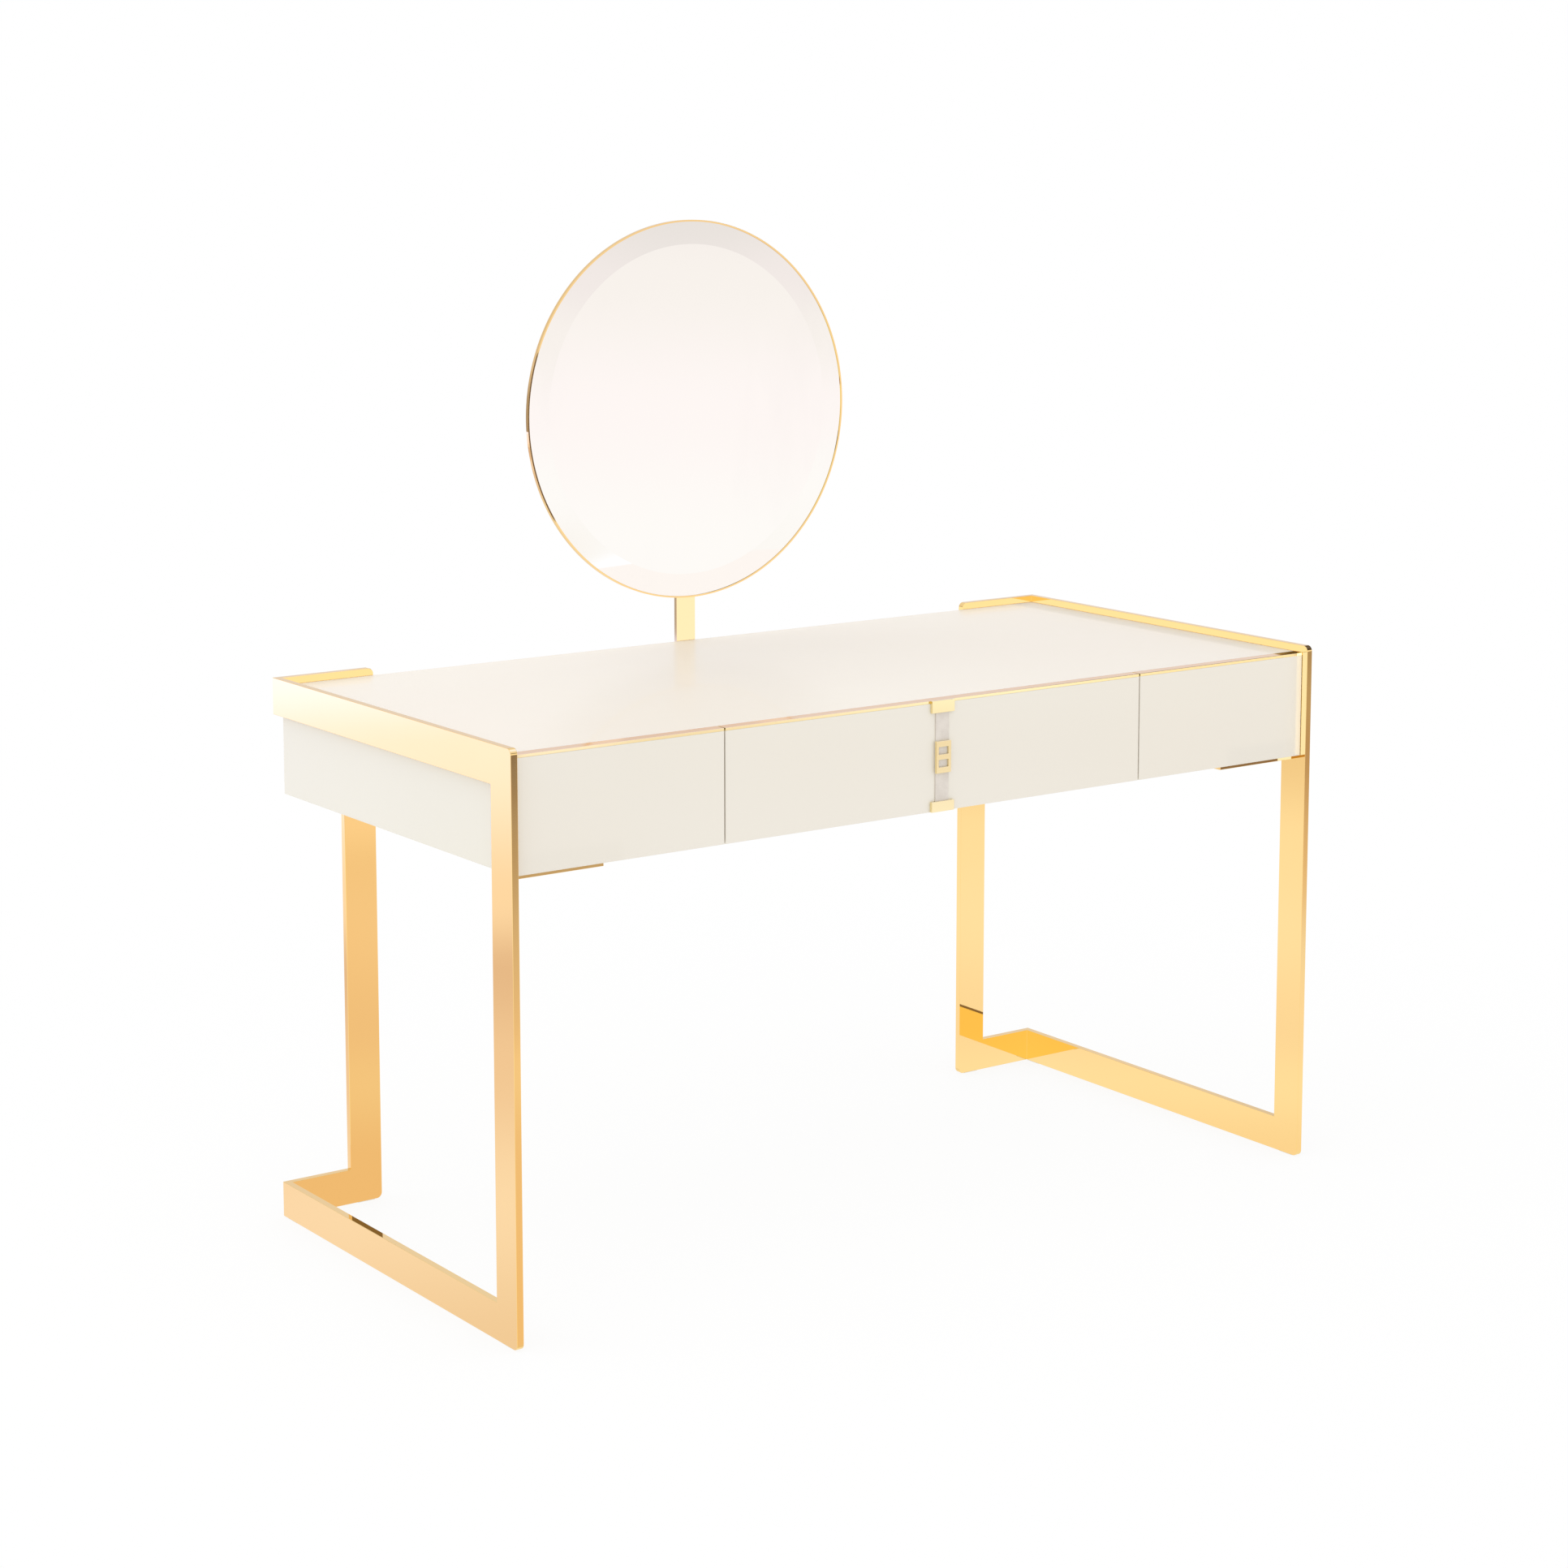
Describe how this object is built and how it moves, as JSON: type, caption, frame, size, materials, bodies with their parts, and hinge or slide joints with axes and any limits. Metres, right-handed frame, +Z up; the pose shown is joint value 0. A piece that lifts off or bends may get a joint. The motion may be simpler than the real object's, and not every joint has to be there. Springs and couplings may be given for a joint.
{
  "type": "vanity table with mirror",
  "caption": "Dressing table with a lacquered case on folded flat-bar side frames, drawers in its front and a round bevelled tilting mirror on a post behind the top.",
  "frame": {"origin": "on the floor, under the middle of the table", "axes": "+X to the right along the width, +Y to the back, +Z up; the drawers open towards -Y"},
  "size_m": [1.323, 0.62, 1.349],
  "materials": {
    "gold_bar": "mirror-polished gold plate on flat bar",
    "gold_trim": "polished gold plate",
    "lacquer_top": "high-gloss cream lacquer",
    "lacquer": "gloss cream lacquer",
    "drawer_wood": "clear-finished birch",
    "runner": "zinc-plated steel",
    "screw": "bright steel",
    "strap": "smooth pale grey leather",
    "backing": "satin cream paint",
    "mirror_glass": "silvered glass with a ground bevel",
    "glide": "white nylon"
  },
  "bodies": {
    "table": {"left_front_leg": "gold_bar", "left_top_rail": "gold_bar", "left_foot_rail": "gold_bar", "left_top_return": "gold_bar", "left_foot_return": "gold_bar", "left_back_leg": "gold_bar", "left_bearer": "gold_bar", "right_front_leg": "gold_bar", "right_top_rail": "gold_bar", "right_foot_rail": "gold_bar", "right_top_return": "gold_bar", "right_foot_return": "gold_bar", "right_back_leg": "gold_bar", "right_bearer": "gold_bar", "floor_glides": "glide", "bearer_screws": "screw", "rail_screws": "screw", "table_top": "lacquer_top", "left_side_panel": "lacquer", "right_side_panel": "lacquer", "back_panel": "lacquer", "bottom_panel": "lacquer", "left_divider": "lacquer", "right_divider": "lacquer", "left_case_runners": "runner", "centre_case_runners": "runner", "right_case_runners": "runner", "mirror_post": "gold_bar", "post_screws": "screw", "hinge_knuckle": "gold_trim", "hinge_pin": "screw"},
    "left_drawer": {"left_drawer_front": "lacquer", "left_drawer_trim": "gold_trim", "left_drawer_sides": "drawer_wood", "left_drawer_back": "drawer_wood", "left_drawer_bottom": "drawer_wood", "left_drawer_runners": "runner"},
    "left_runner_middle": {"left_mid_runners": "runner"},
    "centre_drawer": {"centre_drawer_front": "lacquer", "centre_drawer_trim": "gold_trim", "centre_drawer_sides": "drawer_wood", "centre_drawer_back": "drawer_wood", "centre_drawer_bottom": "drawer_wood", "centre_drawer_runners": "runner", "strap": "strap", "strap_top_clip": "gold_trim", "strap_bottom_clip": "gold_trim", "strap_buckle": "gold_trim"},
    "centre_runner_middle": {"centre_mid_runners": "runner"},
    "right_drawer": {"right_drawer_front": "lacquer", "right_drawer_trim": "gold_trim", "right_drawer_sides": "drawer_wood", "right_drawer_back": "drawer_wood", "right_drawer_bottom": "drawer_wood", "right_drawer_runners": "runner"},
    "right_runner_middle": {"right_mid_runners": "runner"},
    "mirror": {"mirror_bracket": "gold_trim", "mirror_backing": "backing", "mirror_glass": "mirror_glass", "mirror_rim": "gold_trim"}
  },
  "joints": [
    {"name": "left_drawer_slide", "type": "slide", "parent": "table", "child": "left_drawer", "axis": [0, -1, 0], "range_m": [0, 0.4]},
    {"name": "left_runner_slide", "type": "slide", "parent": "table", "child": "left_runner_middle", "axis": [0, -1, 0], "range_m": [0, 0.2]},
    {"name": "centre_drawer_slide", "type": "slide", "parent": "table", "child": "centre_drawer", "axis": [0, -1, 0], "range_m": [0, 0.4]},
    {"name": "centre_runner_slide", "type": "slide", "parent": "table", "child": "centre_runner_middle", "axis": [0, -1, 0], "range_m": [0, 0.2]},
    {"name": "right_drawer_slide", "type": "slide", "parent": "table", "child": "right_drawer", "axis": [0, -1, 0], "range_m": [0, 0.4]},
    {"name": "right_runner_slide", "type": "slide", "parent": "table", "child": "right_runner_middle", "axis": [0, -1, 0], "range_m": [0, 0.2]},
    {"name": "mirror_tilt", "type": "hinge", "parent": "table", "child": "mirror", "pos_m": [0, 0.2965, 1.077], "axis": [-1, 0, 0], "range_deg": [0, 15]}
  ],
  "couplings": [
    {"joint": "left_runner_slide", "follows": "left_drawer_slide", "ratio": 0.5},
    {"joint": "centre_runner_slide", "follows": "centre_drawer_slide", "ratio": 0.5},
    {"joint": "right_runner_slide", "follows": "right_drawer_slide", "ratio": 0.5}
  ]
}
